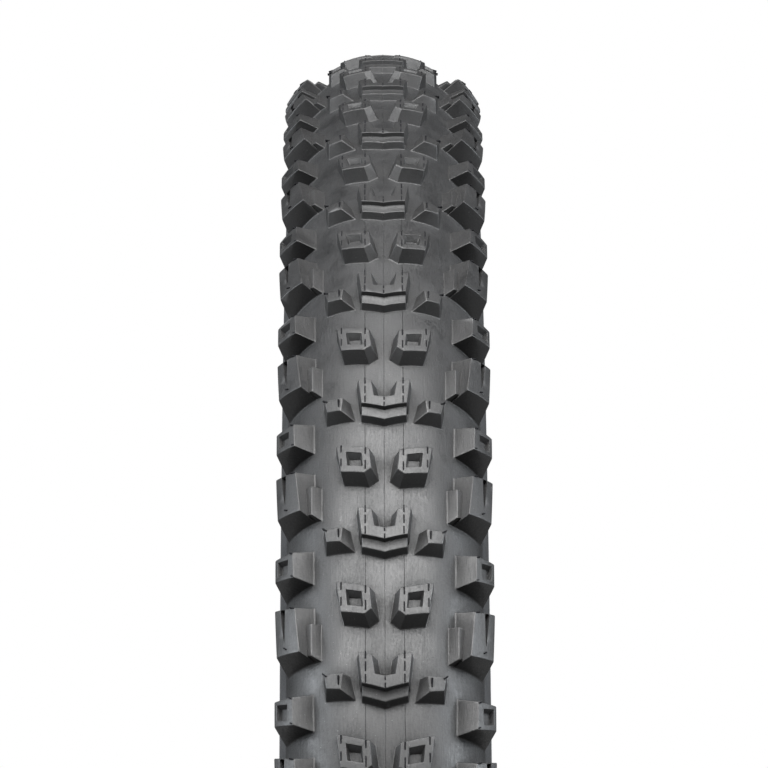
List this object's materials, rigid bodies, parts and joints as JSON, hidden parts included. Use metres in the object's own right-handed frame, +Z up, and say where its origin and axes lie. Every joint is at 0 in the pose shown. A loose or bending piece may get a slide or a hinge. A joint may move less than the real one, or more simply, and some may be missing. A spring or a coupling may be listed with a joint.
{
  "type": "bicycle tire",
  "caption": "Off-road bicycle tire with chevron, square and hollow shoulder tread blocks on a tubeless two-ply casing.",
  "frame": {"origin": "centre of the wheel, midway between the two beads", "axes": "+Y along the wheel's axle to the right side, +Z up, +X the rolling direction at the top of the wheel"},
  "size_m": [0.74, 0.062, 0.74],
  "materials": {
    "tread_rubber": "matte",
    "sidewall_rubber": "satin",
    "chafer_rubber": "satin",
    "liner_rubber": "satin",
    "casing_rubber": "matte",
    "casing_fabric": "matte",
    "belt_fabric": "matte",
    "aramid_core": "matte"
  },
  "bodies": {
    "root": {"bead_core_left": "aramid_core", "bead_filler_left": "casing_rubber", "chafer_left": "chafer_rubber", "bead_core_right": "aramid_core", "bead_filler_right": "casing_rubber", "chafer_right": "chafer_rubber", "inner_liner": "liner_rubber", "casing_ply_inner": "casing_fabric", "casing_ply_outer": "casing_fabric", "breaker_belt": "belt_fabric", "sidewall_protection_left": "belt_fabric", "sidewall_rubber_left": "sidewall_rubber", "sidewall_protection_right": "belt_fabric", "sidewall_rubber_right": "sidewall_rubber", "tread_base": "tread_rubber", "centre_chevron_blocks": "tread_rubber", "centre_square_blocks_left": "tread_rubber", "transition_knobs_left": "tread_rubber", "shoulder_hollow_knobs_left": "tread_rubber", "shoulder_long_knobs_left": "tread_rubber", "centre_square_blocks_right": "tread_rubber", "transition_knobs_right": "tread_rubber", "shoulder_hollow_knobs_right": "tread_rubber", "shoulder_long_knobs_right": "tread_rubber"}
  },
  "joints": []
}
